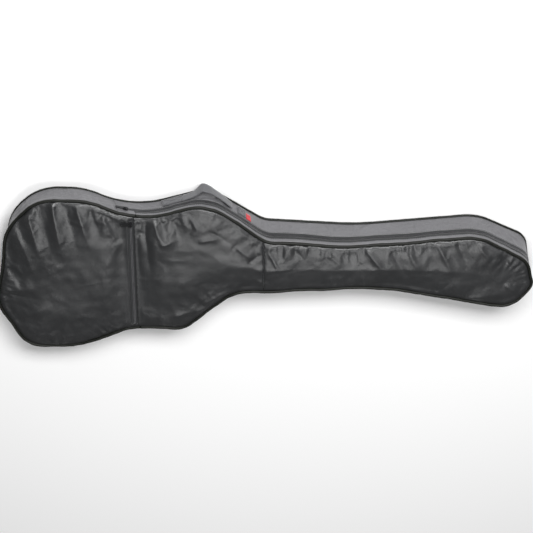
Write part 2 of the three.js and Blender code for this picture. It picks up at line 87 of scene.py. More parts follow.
# [x, y, radius] of each rounded corner, from the butt along the handle side to the head, and
# back along the far side.
FRONT_CORNERS = [
    (-0.583, 0.137, 0.120), (-0.503, 0.206, 0.110), (-0.394, 0.203, 0.150), (-0.290, 0.150, 0.200),
    (-0.128, 0.197, 0.090), (0.004, 0.094, 0.060), (0.200, 0.080, 0.600), (0.488, 0.112, 0.110),
    (0.606, 0.040, 0.048), (0.621, -0.024, 0.036), (0.577, -0.086, 0.050), (0.528, -0.080, 0.150),
    (0.270, -0.030, 0.600), (-0.075, -0.049, 0.080), (-0.192, -0.157, 0.050), (-0.290, -0.142, 0.200),
    (-0.448, -0.206, 0.150), (-0.554, -0.208, 0.065), (-0.622, -0.086, 0.090),
]
REAR_CORNERS = [
    (-0.578, 0.137, 0.120), (-0.508, 0.203, 0.110), (-0.408, 0.199, 0.150), (-0.304, 0.146, 0.200),
    (-0.1258, 0.1977, 0.090), (-0.002, 0.112, 0.060), (0.210, 0.097, 0.600), (0.488, 0.122, 0.110),
    (0.605, 0.064, 0.046), (0.621, -0.026, 0.036), (0.578, -0.099, 0.050), (0.528, -0.094, 0.150),
    (0.270, -0.048, 0.600), (-0.075, -0.066, 0.080), (-0.190, -0.168, 0.050), (-0.296, -0.149, 0.200),
    (-0.448, -0.202, 0.150), (-0.550, -0.204, 0.065), (-0.617, -0.086, 0.090),
]
PIPING_RADIUS = 0.0036
FRONT_HEIGHT = 0.070
FRONT_RISE = 0.0165
STEP = 0.0035                     # between the stations along the outline
GAP = 0.0003
FOLD_X = -0.290
NECK_SEAM_X = -0.002
ZIP_START_X = -0.330
POCKET_ZIP_X = -0.303


def corner_turns(corners):
    """The direction in which the outline arrives at each corner, and its turn there."""
    points = np.array([c[:2] for c in corners])
    arriving = points - np.roll(points, 1, 0)
    arriving /= np.hypot(*arriving.T)[:, None]
    leaving = np.roll(arriving, -1, 0)
    cross = arriving[:, 0] * leaving[:, 1] - arriving[:, 1] * leaving[:, 0]
    return points, arriving, np.arctan2(cross, (arriving * leaving).sum(1))


def rounded_arcs(corners, steps):
    """The points and outward normals of each corner's arc."""
    points, arriving, turns = corner_turns(corners)
    arcs = []
    for (here, way, turn), (_, _, radius), count in zip(zip(points, arriving, turns), corners, steps):
        side = 1 if turn < 0 else -1
        first = np.array([-way[1], way[0]])
        centre = here - way * radius * math.tan(abs(turn) / 2) - side * radius * first
        angles = turn * np.arange(count + 1) / count
        cos, sin = np.cos(angles), np.sin(angles)
        normals = np.stack([first[0] * cos - first[1] * sin, first[0] * sin + first[1] * cos], 1)
        arcs.append((centre + side * radius * normals, normals))
    return arcs


def whole_outline(arcs, run_steps):
    """One closed line of points and normals, with the straight runs between the arcs cut up."""
    points, normals = [], []
    for i, (arc, arc_normals) in enumerate(arcs):
        following = arcs[(i + 1) % len(arcs)][0][0]
        share = np.arange(1, run_steps[i])[:, None] / run_steps[i]
        points += [arc, arc[-1] + (following - arc[-1]) * share]
        normals += [arc_normals, np.repeat(arc_normals[-1:], run_steps[i] - 1, 0)]
    return np.concatenate(points), np.concatenate(normals)


def unit(vectors):
    return vectors / np.linalg.norm(vectors, axis=-1, keepdims=True)


def reach_along(points):
    """How far along the line each of its points lies."""
    return np.concatenate([[0], np.cumsum(np.linalg.norm(np.diff(points, axis=0), axis=1))])


WAVES = 14                        # added up in a random field


def uneven(u, v, wavelength, seed, stretch=1.0):
    """A smooth random field of about unit size, longer along u where stretch is above 1."""
    random = np.random.default_rng(seed)
    total = 0
    for _ in range(WAVES):
        angle, phase = random.uniform(0, 2 * math.pi, 2)
        number = 2 * math.pi / wavelength * random.uniform(0.6, 1.6)
        total = total + np.sin(number * (u * math.cos(angle) / stretch + v * math.sin(angle)) + phase)
    return total / math.sqrt(WAVES / 2)


def creases(u, v, wavelength, seed, stretch=1.0):
    """Sharp ridges from 0 to 1 between softer hollows, as crumpled nylon has."""
    return np.clip(1 - np.abs(uneven(u, v, wavelength, seed, stretch)), 0, 1) ** 2


def smooth(x, start, end):
    t = np.clip((np.asarray(x, float) - start) / (end - start), 0, 1)
    return t * t * (3 - 2 * t)


def plane(x):
    return FRONT_HEIGHT + FRONT_RISE * x


def paired_outlines():
    """Stations that pair a point of the front outline with its point of the rear outline."""
    _, _, turns = corner_turns(FRONT_CORNERS)
    steps = [max(4, math.ceil(abs(t) * c[2] / STEP)) for t, c in zip(turns, FRONT_CORNERS)]
    front_arcs = rounded_arcs(FRONT_CORNERS, steps)
    rear_arcs = rounded_arcs(REAR_CORNERS, steps)
    ends = zip(front_arcs, front_arcs[1:] + front_arcs[:1])
    runs = [max(2, math.ceil(math.dist(a[0][-1], b[0][0]) / STEP)) for a, b in ends]
    front, front_normal = whole_outline(front_arcs, runs)
    rear, rear_normal = whole_outline(rear_arcs, runs)
    length = reach_along(front)
    flat = front.copy()
    sway = 0.0006 * uneven(length, 0, 0.14, 3) + 0.0002 * uneven(length, 0, 0.045, 4)
    front = front + front_normal * sway[:, None]
    rise = 0.0006 * uneven(length, 0, 0.09, 5)
    return SimpleNamespace(
        flat=flat,
        front=np.c_[front, plane(front[:, 0]) + rise],
        rear=np.c_[rear, np.full(len(rear), PIPING_RADIUS)],
        front_normal=np.c_[front_normal, np.zeros(len(front))],
        rear_normal=np.c_[rear_normal, np.zeros(len(rear))],
        length=length,
    )


line = paired_outlines()
COUNT = len(line.front)


def at(values, places):
    """Values at fractional stations, going round past the last one."""
    low = np.floor(places).astype(int)
    share = (places - low).reshape(-1, *[1] * (values.ndim - 1))
    return values[low % COUNT] * (1 - share) + values[(low + 1) % COUNT] * share


def crossing(x, side):
    """Where the front outline passes x: towards the head on the handle side, back on the far one."""
    here, following = line.flat[:, 0], np.roll(line.flat[:, 0], -1)
    passes = (here < x) & (following >= x) if side == "handle" else (here > x) & (following <= x)
    i = int(np.argmax(passes))
    return i + (x - here[i]) / (following[i] - here[i])


def run(start, end, finer=1):
    """The fractional stations from one crossing on to another, going round with the outline."""
    first, last = crossing(*start), crossing(*end)
    if last < first:
        last += COUNT
    return np.linspace(first, last, max(2, int((last - first) * finer)) + 1)


def round_head(x):
    return run((x, "handle"), (x, "far"))


def round_butt(x):
    return run((x, "far"), (x, "handle"))


ALL_ROUND = np.arange(COUNT, dtype=float)


def out_normal(places):
    return unit(at(line.front_normal, places) + at(line.rear_normal, places))


def wall_height(places):
    return np.linalg.norm(at(line.rear, places) - at(line.front, places), axis=1)


def wall_points(places, downs, outs):
    """Points of the wall: downs from the front piping to the rear one, outs from its face.
    Both are arrays of a row for each place."""
    front, rear = at(line.front, places), at(line.rear, places)
    way = unit(rear - front)
    normal = out_normal(places)
    return front[:, None] + way[:, None] * downs[..., None] + normal[:, None] * outs[..., None]


def arc_length(places):
    wrapped = np.floor(places / COUNT) * (line.length[-1] + STEP)
    return at(line.length, places) + wrapped


# ---- making meshes ----------------------------------------------------------------------


def new_piece(name, points, faces, material, uv=None, smooth_shaded=True):
    mesh = bpy.data.meshes.new(name)
    mesh.from_pydata(np.asarray(points, float).reshape(-1, 3).tolist(), [], faces)
    mesh.update()
    if smooth_shaded:
        mesh.polygons.foreach_set("use_smooth", np.ones(len(mesh.polygons), bool))
    if uv is not None:
        corner = np.zeros(len(mesh.loops), int)
        mesh.loops.foreach_get("vertex_index", corner)
        layer = mesh.uv_layers.new(name="cut")
        layer.data.foreach_set("uv", np.asarray(uv, float).reshape(-1, 2)[corner].ravel())
    mesh.materials.append(material)
    piece = bpy.data.objects.new(name, mesh)
    bpy.context.scene.collection.objects.link(piece)
    return piece


def grid_faces(rows, columns, closed_rows=False, closed_columns=False):
    i = np.arange(rows if closed_rows else rows - 1)[:, None]
    j = np.arange(columns if closed_columns else columns - 1)[None]
    following_i, following_j = (i + 1) % rows, (j + 1) % columns
    corners = [i * columns + j, following_i * columns + j,
               following_i * columns + following_j, i * columns + following_j]
    return np.stack([np.broadcast_to(c, (i.size, j.size)) for c in corners], -1).reshape(-1, 4).tolist()


def thicken(piece, thickness):
    """A closed solid of which the mesh is the outer face."""
    modifier = piece.modifiers.new("thickness", "SOLIDIFY")
    modifier.thickness = thickness
    modifier.offset = -1
    modifier.use_even_offset = False
    return piece


def face_towards(piece, way):
    """Turns all the faces over if the first one looks away from the given way."""
    if piece.data.polygons[0].normal.dot(Vector(way)) < 0:
        piece.data.flip_normals()
    return piece


def rings(side, over, count, wide=1, tall=1):
    """For each place along a line, the points of an oval across it."""
    angle = (np.arange(count) * 2 * math.pi / count)[None, :, None]
    return side[:, None] * np.cos(angle) * wide + over[:, None] * np.sin(angle) * tall


def end_caps(rows, count):
    last = (rows - 1) * count
    return [list(range(count))[::-1], [last + k for k in range(count)]]


CORD_SIDES = 12


def tube(name, centres, radii, material, closed=False):
    """A round cord through the centres. Its rings stand across the line's own direction."""
    ahead = np.roll(centres, -1, 0) - np.roll(centres, 1, 0)
    if not closed:
        ahead[0], ahead[-1] = centres[1] - centres[0], centres[-1] - centres[-2]
    ahead = unit(ahead)
    side = unit(np.cross(ahead, [0, 0, 1.0]))
    ring = rings(side, np.cross(side, ahead), CORD_SIDES)
    points = centres[:, None] + ring * np.broadcast_to(radii, len(centres))[:, None, None]
    faces = grid_faces(len(centres), CORD_SIDES, closed, True)
    if not closed:
        faces += end_caps(len(centres), CORD_SIDES)
    around = np.arange(CORD_SIDES) * 2 * math.pi / CORD_SIDES * PIPING_RADIUS
    uv = np.stack(np.broadcast_arrays(reach_along(centres)[:, None], around[None]), -1)
    return new_piece(name, points, faces, material, uv)


def block(grid_outer, grid_inner):
    """The points and faces of a closed slab between two grids of the same size."""
    rows, columns = grid_outer.shape[:2]
    faces = grid_faces(rows, columns)
    under = [[v + rows * columns for v in f[::-1]] for f in faces]
    edge = [i * columns for i in range(rows)] + [(rows - 1) * columns + j for j in range(1, columns)]
    edge += [i * columns + columns - 1 for i in range(rows - 2, -1, -1)]
    edge += list(range(columns - 2, 0, -1))
    neighbours = zip(edge, edge[1:] + edge[:1])
    sides = [[b, a, a + rows * columns, b + rows * columns] for a, b in neighbours]
    points = np.concatenate([grid_outer.reshape(-1, 3), grid_inner.reshape(-1, 3)])
    return points, faces + under + sides


def slab(name, outer, inner, cut, way, material, smooth_shaded=True):
    """A closed slab whose outer grid looks the given way. Its cut is (u, v) at each grid point."""
    points, faces = block(outer, inner)
    uv = np.concatenate([cut.reshape(-1, 2)] * 2)
    return face_towards(new_piece(name, points, faces, material, uv, smooth_shaded), way)


UP, DOWN = (0, 0, 1), (0, 0, -1)
SPINDLE_SIDES = 6
SPINDLE_SHARES = (0, 0.12, 0.5, 0.88, 1)
SPINDLE_SWELLS = (0.45, 0.85, 1, 0.85, 0.45)


def spindles(name, starts, ends, ups, radii, material):
    """Many small rounded bars as one mesh: stitches, or the turns of a zip's coil."""
    starts, ends = np.asarray(starts), np.asarray(ends)
    along = unit(ends - starts)
    side = unit(np.cross(along, np.broadcast_to(ups, starts.shape)))
    ring = rings(side, np.cross(side, along), SPINDLE_SIDES, *radii)
    points = np.stack([
        (starts + (ends - starts) * share)[:, None] + ring * swell
        for share, swell in zip(SPINDLE_SHARES, SPINDLE_SWELLS)], 1)
    rows = len(SPINDLE_SHARES)
    local = grid_faces(rows, SPINDLE_SIDES, False, True) + end_caps(rows, SPINDLE_SIDES)
    size = rows * SPINDLE_SIDES
    faces = [[v + k * size for v in f] for k in range(len(starts)) for f in local]
    return new_piece(name, points, faces, material)


def sew(name, body, path, ups, pitch=0.0042, length=0.0030, radius=0.00036):
    """A row of stitches along a path of points."""
    reach = reach_along(path)
    starts = np.arange(pitch / 2, reach[-1] - length, pitch)

    def taken(values, where):
        return np.stack([np.interp(where, reach, values[:, k]) for k in range(3)], 1)

    up = unit(taken(np.broadcast_to(ups, path.shape), starts))
    row = spindles(name, taken(path, starts), taken(path, starts + length), up, (radius, radius), thread)
    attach(row, body)


# ---- materials --------------------------------------------------------------------------


def shader(name, colour, roughness, **settings):
    material = bpy.data.materials.new(name)
    material.use_nodes = True
    surface = material.node_tree.nodes["Principled BSDF"]
    surface.inputs["Base Color"].default_value = (*colour, 1)
    surface.inputs["Roughness"].default_value = roughness
    for socket, value in settings.items():
        surface.inputs[socket.replace("_", " ")].default_value = value
    return material, material.node_tree, surface


def node(tree, kind, **values):
    made = tree.nodes.new(kind)
    for socket, value in values.items():
        made.inputs[socket.replace("_", " ")].default_value = value
    return made


def maths(tree, operation, a, b):
    made = tree.nodes.new("ShaderNodeMath")
    made.operation = operation
    for socket, value in zip(made.inputs, (a, b)):
        if isinstance(value, (int, float)):
            socket.default_value = value
        else:
            tree.links.new(value, socket)
    return made.outputs[0]


def noise_of(tree, place, scale, detail=2.0, distortion=0.0):
    made = node(tree, "ShaderNodeTexNoise", Scale=scale, Detail=detail, Distortion=distortion)
    tree.links.new(place, made.inputs["Vector"])
    return made.outputs["Fac"]


def threads(tree, place, pitch, across):
    """Rounded ribs of the given pitch, one set along U and one along V where across is true."""
    split = tree.nodes.new("ShaderNodeSeparateXYZ")
    tree.links.new(place, split.inputs[0])
    number = 2 * math.pi / pitch
    u = maths(tree, "SINE", maths(tree, "MULTIPLY", split.outputs[0], number), 0)
    v = maths(tree, "SINE", maths(tree, "MULTIPLY", split.outputs[1], number), 0)
    return maths(tree, "MULTIPLY", u, v) if across else u


def ranged(tree, factor, low, high):
    made = node(tree, "ShaderNodeMapRange", To_Min=low, To_Max=high)
    tree.links.new(factor, made.inputs["Value"])
    return made.outputs[0]


def bumped(tree, surface, height, strength, distance):
    bump = node(tree, "ShaderNodeBump", Strength=strength, Distance=distance)
    tree.links.new(height, bump.inputs["Height"])
    tree.links.new(bump.outputs[0], surface.inputs["Normal"])


def tinted(tree, colour, factor, low, high):
    """The colour made darker or lighter by a factor from 0 to 1."""
    scale = tree.nodes.new("ShaderNodeVectorMath")
    scale.operation = "SCALE"
    if isinstance(colour, tuple):
        scale.inputs[0].default_value = colour
    else:
        tree.links.new(colour, scale.inputs[0])
    tree.links.new(ranged(tree, factor, low, high), scale.inputs["Scale"])
    return scale.outputs[0]


WEAVE_TINT = 0.18                 # how far the threads' colour goes up and down


def woven(name, colour, roughness, pitch, depth, across=True, **settings):
    """Woven cloth: threads, a slightly patchy coating and fine crumples."""
    material, tree, surface = shader(name, colour, roughness, **settings)
    place = tree.nodes.new("ShaderNodeUVMap")
    place.uv_map = "cut"
    uv = place.outputs[0]
    weave = threads(tree, uv, pitch, across)
    patches = noise_of(tree, uv, 9.0, 4.0, 0.4)
    grain = noise_of(tree, uv, 260.0, 3.0)
    toned = tinted(tree, colour, patches, 0.80, 1.22)
    toned = tinted(tree, toned, maths(tree, "MULTIPLY_ADD", weave, 0.5), 1 - WEAVE_TINT, 1 + WEAVE_TINT)
    tree.links.new(toned, surface.inputs["Base Color"])
    worn = noise_of(tree, uv, 34.0, 5.0, 0.6)
    rough = ranged(tree, worn, roughness - 0.10, roughness + 0.12)
    tree.links.new(rough, surface.inputs["Roughness"])
    ribs = maths(tree, "MULTIPLY", weave, 0.5)
    height = maths(tree, "ADD", ribs, maths(tree, "MULTIPLY", grain, 0.7))
    bumped(tree, surface, height, 0.55, depth)
    return material


def moulded(name, colour, roughness, grain_scale, depth, wear=1.5, **settings):
    """Moulded or enamelled hard material with a fine grain and rubbed patches."""
    material, tree, surface = shader(name, colour, roughness, **settings)
    place = tree.nodes.new("ShaderNodeTexCoord").outputs["Object"]
    rubbed = noise_of(tree, place, 60.0, 5.0, 0.5)
    tree.links.new(tinted(tree, colour, rubbed, 0.75, wear), surface.inputs["Base Color"])
    rough = ranged(tree, rubbed, roughness - 0.08, roughness + 0.14)
    tree.links.new(rough, surface.inputs["Roughness"])
    bumped(tree, surface, noise_of(tree, place, grain_scale, 3.0), 0.4, depth)
    return material


NYLON = {"Sheen_Weight": 0.04, "Sheen_Roughness": 0.5, "Specular_IOR_Level": 0.88}
front_cloth = woven("front_nylon", (0.0140, 0.0147, 0.0158), 0.42, 0.0011, 0.00012, **NYLON)
# The walls are the same black nylon as the front: this lighter colour is painted light, for the stronger
# light and sheen that the walls catch.
wall_cloth_painted_lit = woven("wall_nylon_painted_lit", (0.104, 0.103, 0.110), 0.48, 0.0011, 0.00012, **NYLON)
back_cloth = woven("back_nylon", (0.026, 0.027, 0.029), 0.55, 0.0011, 0.00012, **NYLON)
lining_cloth = woven("lining_nylon", (0.024, 0.024, 0.027), 0.60, 0.0009, 0.00008, **NYLON)
tape_cloth = woven(
    "zip_tape", (0.014, 0.015, 0.016), 0.75, 0.0010, 0.0001, across=False, Sheen_Weight=0.15)
webbing = woven("webbing", (0.085, 0.086, 0.092), 0.60, 0.0022, 0.00035, Sheen_Weight=0.2)
label_cloth = woven("label_cloth", (0.43, 0.018, 0.026), 0.7, 0.0008, 0.0001, Sheen_Weight=0.2)
foam = moulded("foam", (0.26, 0.27, 0.275), 0.92, 900.0, 0.0006, wear=1.2)
piping_vinyl = moulded(
    "piping_vinyl", (0.007, 0.0075, 0.006), 0.5, 420.0, 0.00015, wear=1.9, Specular_IOR_Level=0.22)
thread = moulded("thread", (0.030, 0.031, 0.033), 0.6, 1500.0, 0.0001)
coil_nylon = moulded("coil_nylon", (0.060, 0.060, 0.064), 0.34, 700.0, 0.00005)
enamel = moulded("enamel", (0.010, 0.010, 0.011), 0.28, 500.0, 0.00004, wear=3.0, Metallic=0.5)
hard_plastic = moulded("hard_plastic", (0.011, 0.011, 0.012), 0.36, 650.0, 0.00008, wear=1.7)

# ---- the front surface ------------------------------------------------------------------

PANEL_EDGE = PIPING_RADIUS + GAP  # from the piping's centre line in to the cloth
FRONT_TOP = 0.0036                # the cloth's outer face above the piping's centre plane
SKIN = 0.0012
FOAM = 0.005
LINING = 0.001

# Folds of the front cloth, listed one by one: from (x, y) to (x, y), half width, height.
FRONT_FOLDS = [
    # Folds that fan out from the butt's piping.
    (-0.560, 0.165, -0.545, 0.060, 0.012, -0.0045),
    (-0.536, 0.185, -0.516, 0.080, 0.011, 0.0050),
    (-0.505, 0.192, -0.488, 0.085, 0.011, -0.0042),
    (-0.478, 0.196, -0.460, 0.070, 0.011, 0.0052),
    (-0.450, 0.196, -0.428, 0.090, 0.011, -0.0040),
    (-0.423, 0.192, -0.400, 0.100, 0.010, 0.0042),
    (-0.392, 0.180, -0.372, 0.110, 0.010, -0.0032),
    (-0.362, 0.160, -0.345, 0.110, 0.009, 0.0025),
    (-0.590, 0.110, -0.578, 0.030, 0.014, -0.0075),
    (-0.560, 0.125, -0.535, 0.030, 0.010, 0.0040),
    (-0.585, 0.020, -0.560, -0.005, 0.009, -0.0060),
    (-0.585, -0.050, -0.520, -0.062, 0.010, -0.0022),
    (-0.560, -0.110, -0.500, -0.080, 0.012, 0.0022),
    (-0.500, -0.160, -0.450, -0.110, 0.012, -0.0020),
    # The dip and the bright fold beside the pocket's zip.
    (-0.272, 0.140, -0.262, 0.020, 0.009, -0.0035),
    (-0.250, 0.150, -0.232, 0.095, 0.013, 0.0050),
    (-0.232, 0.095, -0.195, 0.110, 0.012, 0.0030),
    (-0.205, 0.150, -0.190, 0.110, 0.009, -0.0028),
    (-0.165, 0.160, -0.150, 0.125, 0.008, 0.0026),
    (-0.145, 0.104, -0.105, 0.109, 0.006, 0.0026),
    (-0.120, 0.125, -0.085, 0.100, 0.007, -0.0022),
    (-0.060, 0.080, -0.020, 0.050, 0.010, 0.0028),
    (-0.034, 0.044, -0.014, 0.062, 0.008, -0.0030),
    (-0.210, -0.110, -0.150, -0.095, 0.010, 0.0022),
    (-0.130, -0.070, -0.070, -0.030, 0.010, 0.0020),
    # The neck and the head.
    (0.010, 0.070, 0.030, 0.030, 0.006, 0.0022),
    (0.060, 0.080, 0.090, 0.050, 0.007, -0.0018),
    (0.150, 0.062, 0.180, 0.030, 0.008, 0.0022),
    (0.236, 0.070, 0.275, 0.025, 0.009, 0.0032),
    (0.290, 0.070, 0.320, 0.020, 0.009, -0.0024),
    (0.330, 0.075, 0.350, 0.030, 0.008, 0.0024),
    (0.395, 0.090, 0.425, 0.030, 0.010, 0.0030),
    (0.440, 0.095, 0.462, 0.045, 0.009, -0.0026),
    (0.490, 0.090, 0.515, 0.050, 0.009, 0.0026),
    (0.540, 0.060, 0.575, 0.020, 0.010, -0.0022),
    (0.560, -0.020, 0.590, -0.045, 0.010, 0.0026),
    (0.470, -0.060, 0.530, -0.050, 0.010, 0.0022),
]


def fold_heights(x, y):
    total = np.zeros_like(x)
    for x0, y0, x1, y1, width, height in FRONT_FOLDS:
        length = math.hypot(x1 - x0, y1 - y0)
        along = ((x - x0) * (x1 - x0) + (y - y0) * (y1 - y0)) / length**2
        across = ((y - y0) * (x1 - x0) - (x - x0) * (y1 - y0)) / length
        taper = smooth(along, -0.25, 0.15) * smooth(along, 1.45, 0.45)
        spread = width * (0.8 + 0.5 * np.clip(along, 0, 1.3))
        total += height * taper * np.exp(-(np.abs(across / spread) ** 1.35))
    return total


CHUNK = 4000                      # points measured at a time


def edge_of(x, y):
    """The distance in from the front piping's centre line, and the station nearest to it."""
    points = np.stack([x, y], 1)
    start, end = line.front[:, :2], np.roll(line.front[:, :2], -1, 0)
    run_vector = end - start
    squared = np.maximum((run_vector**2).sum(1), 1e-12)
    distances, stations = np.empty(len(x)), np.empty(len(x))
    for chunk in range(0, len(x), CHUNK):
        part = points[chunk:chunk + CHUNK, None]
        t = np.clip(((part - start) * run_vector).sum(2) / squared, 0, 1)
        gap = np.hypot(*np.moveaxis(part - start - run_vector * t[..., None], 2, 0))
        nearest = gap.argmin(1)
        rows = np.arange(len(nearest))
        distances[chunk:chunk + CHUNK] = gap[rows, nearest]
        stations[chunk:chunk + CHUNK] = nearest + t[rows, nearest]
    return distances, stations


ZIP_CLOTH_EDGE = 0.0068           # from the pocket zip's middle to the cloth on either side
POCKET_ZIP_NEAR = -0.137          # the ends of the pocket's zip
POCKET_ZIP_FAR = 0.155
HAND_FOLDS = 1.35                 # how strongly the folds are laid
LOWEST_FOLD = 0.0038              # no fold reaches farther down, towards the padding
FOLD_ROOM = 0.0045                # from the smooth front cloth down to its padding


def crown_height(x, inside):
    """The padded rise of the front from its piping, which stays low along the pocket's zip."""
    crown = 0.0090 * smooth(inside, 0, 0.105) * smooth(x, 0.62, 0.30)
    crown = crown + 0.0030 * smooth(inside, 0, 0.034)
    calm = smooth(np.abs(x - POCKET_ZIP_X), 0.010, 0.070)
    return crown * (0.12 + 0.88 * calm) - 0.0026 * (1 - smooth(inside, 0, 0.009))


def puckers(along, inside):
    """Short creases that run in from the piping, where the cloth was eased into its seam."""
    near = smooth(inside, 0, 0.005) * (1 - smooth(inside, 0.008, 0.048))
    coarse = uneven(inside, along, 0.026, 11, 3.5)
    fine = uneven(inside, along, 0.011, 14, 3.0)
    strength = 0.45 + 0.5 * uneven(along, 0, 0.17, 15)
    return near * np.clip(strength, 0.08, 1.3) * (0.0007 * coarse + 0.0004 * fine)


def crumples(x, y):
    """Soft waves over the whole panel with a few sharper creases."""
    upper = 0.35 + 0.65 * smooth(y, -0.06, 0.08)
    soft = 0.0009 * uneven(x, y, 0.150, 12) + 0.0002 * uneven(x, y, 0.045, 13)
    patch = smooth(uneven(x, y, 0.16, 16), 0.0, 1.1) * upper
    sharp = 0.0010 * patch * (creases(x, y, 0.085, 17, 1.6) - 0.3)
    return soft + sharp


EASING_GRID = 0.005               # between the simulated cloth's points
EASING_FRAMES = 22
EASED_BY = 0.045                  # how much too long the cloth is where it meets the piping


def laid_folds(x, y, inside):
    return HAND_FOLDS * fold_heights(x, y) * smooth(inside, -0.001, 0.010)


def eased_cloth():
    """How far the front cloth lifts or sinks where it was eased into its seams: a simulated
    cloth, held along the piping and the pocket's zip, whose rim is a little too long."""
    xs = np.arange(-0.640, 0.641, EASING_GRID)
    ys = np.arange(-0.225, 0.226, EASING_GRID)
    x, y = (g.ravel() for g in np.meshgrid(xs, ys, indexing="ij"))
    distance, station = edge_of(x, y)
    within = inside_polygon(np.stack([x, y], 1), inset_outline(PANEL_EDGE))
    inside = np.where(within, distance - PANEL_EDGE, 0)
    start = crown_height(x, inside) + laid_folds(x, y, inside) + 0.0003 * uneven(x, y, 0.03, 19)
    faces = [f for f in grid_faces(len(xs), len(ys)) if within[f].any()]
    cloth = new_piece("easing", np.stack([x, y, start], 1), faces, front_cloth)
    held = ~within | (np.abs(x - POCKET_ZIP_X) < 0.009)
    faces_up = np.clip(at(line.front_normal, station)[:, 1], 0, 1)
    patchy = smooth(uneven(x, y, 0.13, 20), -0.9, 0.7)
    eased = (1 - smooth(inside, 0.010, 0.085)) * (0.25 + 0.75 * faces_up) * patchy
    for name, weights in (("held", held.astype(float)), ("firm", 1 - eased)):
        group = cloth.vertex_groups.new(name=name)
        for level in range(11):
            group.add(np.flatnonzero(np.round(weights * 10) == level).tolist(), level / 10, "REPLACE")
    settings = cloth.modifiers.new("cloth", "CLOTH").settings
    settings.quality = 6
    settings.mass = 0.25
    settings.tension_stiffness = settings.compression_stiffness = 20
    settings.shear_stiffness = 8
    settings.bending_stiffness = 0.25
    settings.air_damping = 4
    settings.effector_weights.gravity = 0
    settings.vertex_group_mass = "held"
    settings.vertex_group_shrink = "firm"
    settings.shrink_min = -EASED_BY
    settings.shrink_max = 0
    for number in range(1, EASING_FRAMES + 1):
        bpy.context.scene.frame_set(number)
    result = cloth.evaluated_get(bpy.context.evaluated_depsgraph_get()).data
    moved = np.empty(3 * len(x))
    result.vertices.foreach_get("co", moved)
    bpy.data.objects.remove(cloth)
    bpy.context.scene.frame_set(1)
    return xs, ys, (moved.reshape(-1, 3)[:, 2] - start).reshape(len(xs), len(ys))


EASED_REACH = 0.0026              # the simulated folds are kept within this


def spline_weights(t):
    """Catmull-Rom weights of the four grid values round a place."""
    return 0.5 * np.stack([-t + 2 * t**2 - t**3, 2 - 5 * t**2 + 3 * t**3,
                           t + 4 * t**2 - 3 * t**3, t**3 - t**2])


def eased_height(x, y):
    xs, ys, heights = easing
    i = np.clip((x - xs[0]) / EASING_GRID, 1, len(xs) - 3.001)
    j = np.clip((y - ys[0]) / EASING_GRID, 1, len(ys) - 3.001)
    low_i, low_j = i.astype(int), j.astype(int)
    across, up = spline_weights(i - low_i), spline_weights(j - low_j)
    total = 0
    for a in range(4):
        for b in range(4):
            total = total + across[a] * up[b] * heights[low_i + a - 1, low_j + b - 1]
    calmer_neck = 1 - 0.5 * smooth(x, -0.20, 0.02)
    return calmer_neck * EASED_REACH * np.tanh(total / EASED_REACH)


def front_height(x, y):
    """The outer face of the front cloth."""
    x, y = np.asarray(x, float), np.asarray(y, float)
    distance, station = edge_of(x, y)
    along = at(line.length, station)
    inside = distance - PANEL_EDGE
    off_zip = np.abs(x - POCKET_ZIP_X)
    free = smooth(off_zip, 0.008, 0.022)
    welt = 0.0011 * np.exp(-(((off_zip - ZIP_CLOTH_EDGE - 0.001) / 0.003) ** 2))
    welt = welt * smooth(inside, 0.002, 0.012)
    seam = -0.0014 * np.exp(-(((x - NECK_SEAM_X) / 0.004) ** 2)) * smooth(inside, 0, 0.01)
    seam_pucker = 0.0007 * np.exp(-(((x - NECK_SEAM_X) / 0.018) ** 2)) * uneven(x, y, 0.016, 18, 3.0)
    folds = laid_folds(x, y, inside) + eased_height(x, y) * smooth(inside, 0, 0.004)
    loose = folds + crumples(x, y) * smooth(inside, 0, 0.016) + puckers(along, inside) + seam_pucker
    loose = np.where(loose < 0, LOWEST_FOLD * np.tanh(loose / LOWEST_FOLD), loose)
    return plane(x) + FRONT_TOP + crown_height(x, inside) + loose * free + welt + seam


def padding_height(x, y):
    """The face of the padding under the front cloth, clear of all its folds."""
    distance, _ = edge_of(x, y)
    return plane(x) + FRONT_TOP + crown_height(x, distance - PANEL_EDGE) - SKIN - FOLD_ROOM


def inset_outline(inset, points=None, normals=None):
    points = line.front[:, :2] if points is None else points
    normals = line.front_normal[:, :2] if normals is None else normals
    return points - normals * inset


def keep_beyond(points, clearance):
    """A closed polygon cut at the line where clearance is zero."""
    kept = []
    for i, here in enumerate(points):
        following = points[(i + 1) % len(points)]
        a, b = clearance(here), clearance(following)
        if a >= 0:
            kept.append(here)
        if a * b < 0:
            kept.append(here + (following - here) * a / (a - b))
    return kept


def split_long(points, longest):
    """The polygon with its long sides cut into short steps."""
    result = []
    for i, here in enumerate(points):
        following = points[(i + 1) % len(points)]
        count = max(1, math.ceil(math.dist(here, following) / longest))
        result += [here + (following - here) * k / count for k in range(count)]
    return np.array(result)


def without_crowding(points, closest):
    kept = [points[0]]
    for p in points[1:]:
        if math.dist(p, kept[-1]) > closest:
            kept.append(p)
    return kept


def inside_polygon(points, polygon):
    inside = np.zeros(len(points), bool)
    following = np.roll(polygon, -1, 0)
    for (x0, y0), (x1, y1) in zip(polygon, following):
        if y0 != y1:
            crosses = (y0 > points[:, 1]) != (y1 > points[:, 1])
            inside ^= crosses & (points[:, 0] < (x1 - x0) * (points[:, 1] - y0) / (y1 - y0) + x0)
    return inside


